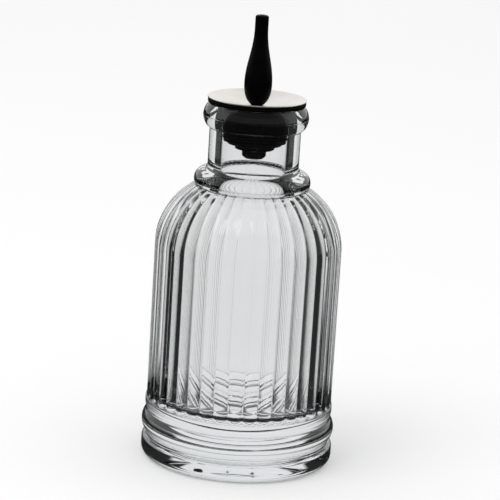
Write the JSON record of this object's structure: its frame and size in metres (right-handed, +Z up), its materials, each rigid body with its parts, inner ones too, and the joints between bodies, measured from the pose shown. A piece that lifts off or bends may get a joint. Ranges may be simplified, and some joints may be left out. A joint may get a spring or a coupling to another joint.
{
  "type": "bitters bottle",
  "caption": "Small round glass bottle with a ribbed, domed body, a rounded foot and a soft stopper that carries a drip dish and a slim dash spout.",
  "frame": {"origin": "middle of the foot, on the surface that the bottle stands on", "axes": "+Z up along the axis of the bottle; the bottle is round, so +X and +Y are any two level directions square to each other"},
  "size_m": [0.0558, 0.0558, 0.1294],
  "materials": {
    "clear_glass": "clear, polished, faintly blue in thick places",
    "black_rubber": "smooth moulded, semi-matte",
    "satin_steel": "satin, turned",
    "black_enamel": "smooth black, satin",
    "tube_steel": "dark turned metal",
    "black_steel": "blackened, semi-matte"
  },
  "bodies": {
    "bottle": {"glass_bottle": "clear_glass"},
    "stopper": {"stopper": "black_rubber"},
    "dasher": {"drip_dish": "satin_steel", "spout": "black_enamel", "dash_tube": "tube_steel", "clamp_washer": "black_steel", "clamp_nut": "black_steel"}
  },
  "joints": [
    {"name": "stopper_pull", "type": "slide", "parent": "bottle", "child": "stopper", "axis": [0, 0, 1], "range_m": [0, 0.025]},
    {"name": "dasher_turn", "type": "hinge", "parent": "stopper", "child": "dasher", "pos_m": [0, 0, 0.1], "axis": [0, 0, 1], "continuous": true}
  ]
}
